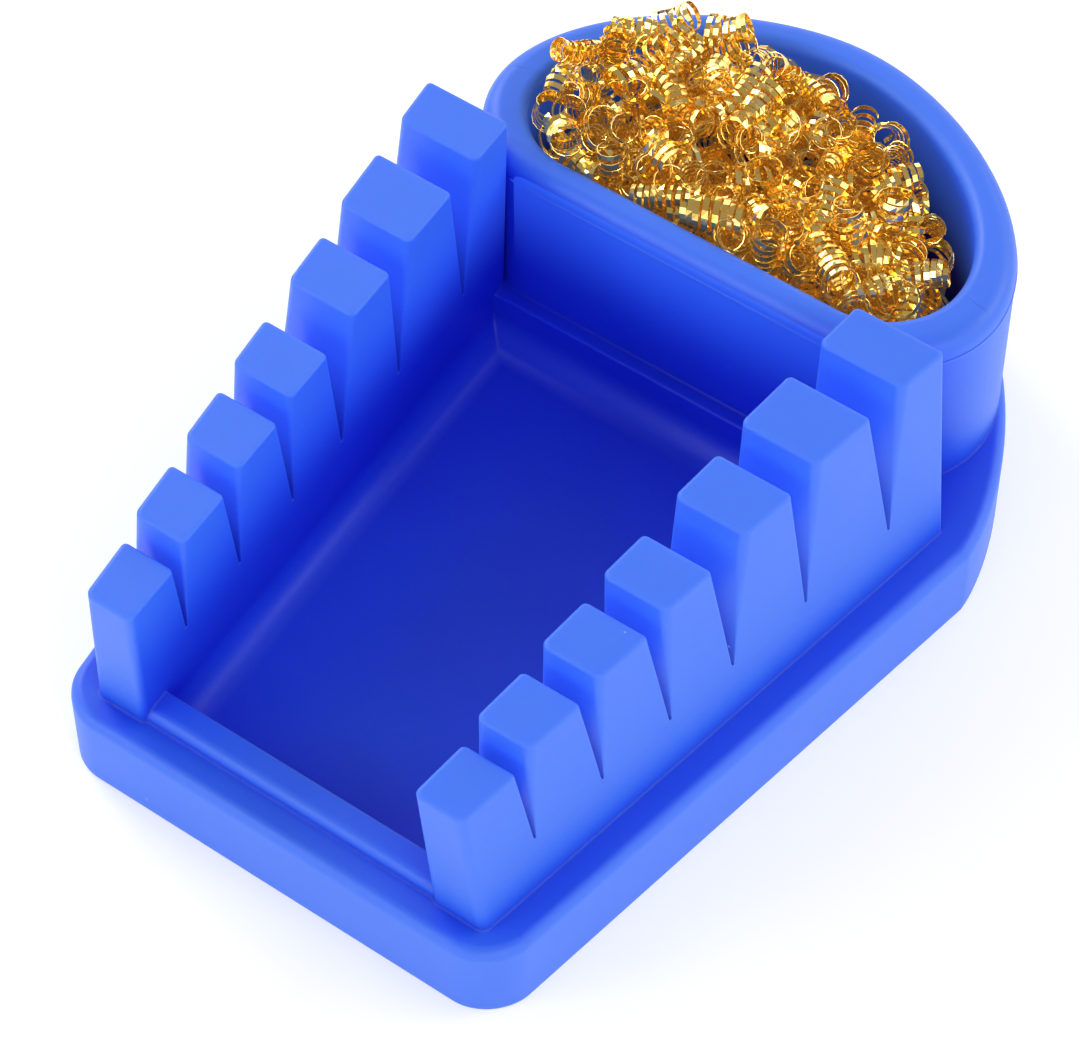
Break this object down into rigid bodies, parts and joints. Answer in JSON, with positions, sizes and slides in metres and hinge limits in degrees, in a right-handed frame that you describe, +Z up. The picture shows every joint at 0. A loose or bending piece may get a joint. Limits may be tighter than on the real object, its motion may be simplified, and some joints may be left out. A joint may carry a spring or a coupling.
{
  "type": "soldering iron stand",
  "caption": "One-piece silicone soldering stand with two rows of notched posts that hold wires over a shallow tray, and a D-shaped cup of curled brass wool for wiping the iron tip",
  "frame": {"origin": "centre of the underside's bounding rectangle, on the resting plane", "axes": "+Z up, -Y the open front of the tray, +Y the cup end, X across the two rows of posts"},
  "size_m": [0.0816, 0.1172, 0.0429],
  "materials": {
    "silicone": "satin translucent silicone",
    "brass_01": "bright thin ribbon",
    "brass_02": "bright thin ribbon",
    "brass_03": "bright thin ribbon",
    "brass_04": "bright thin ribbon",
    "brass_05": "bright thin ribbon",
    "brass_06": "bright thin ribbon",
    "brass_07": "bright thin ribbon",
    "brass_08": "bright thin ribbon",
    "brass_09": "bright thin ribbon",
    "brass_10": "bright thin ribbon",
    "brass_11": "bright thin ribbon",
    "brass_12": "bright thin ribbon",
    "brass_13": "bright thin ribbon",
    "brass_14": "bright thin ribbon",
    "brass_15": "bright thin ribbon",
    "brass_16": "bright thin ribbon",
    "brass_17": "bright thin ribbon",
    "brass_18": "bright thin ribbon"
  },
  "bodies": {
    "stand": {"body": "silicone"},
    "brass_wool": {"wool_strand_01": "brass_01", "wool_strand_02": "brass_02", "wool_strand_03": "brass_03", "wool_strand_04": "brass_04", "wool_strand_05": "brass_05", "wool_strand_06": "brass_06", "wool_strand_07": "brass_07", "wool_strand_08": "brass_08", "wool_strand_09": "brass_09", "wool_strand_10": "brass_10", "wool_strand_11": "brass_11", "wool_strand_12": "brass_12", "wool_strand_13": "brass_13", "wool_strand_14": "brass_14", "wool_strand_15": "brass_15", "wool_strand_16": "brass_16", "wool_strand_17": "brass_17", "wool_strand_18": "brass_18"}
  },
  "joints": [
    {"name": "wool_lift", "type": "slide", "parent": "stand", "child": "brass_wool", "axis": [0, 0, 1], "range_m": [0, 0.045]}
  ]
}
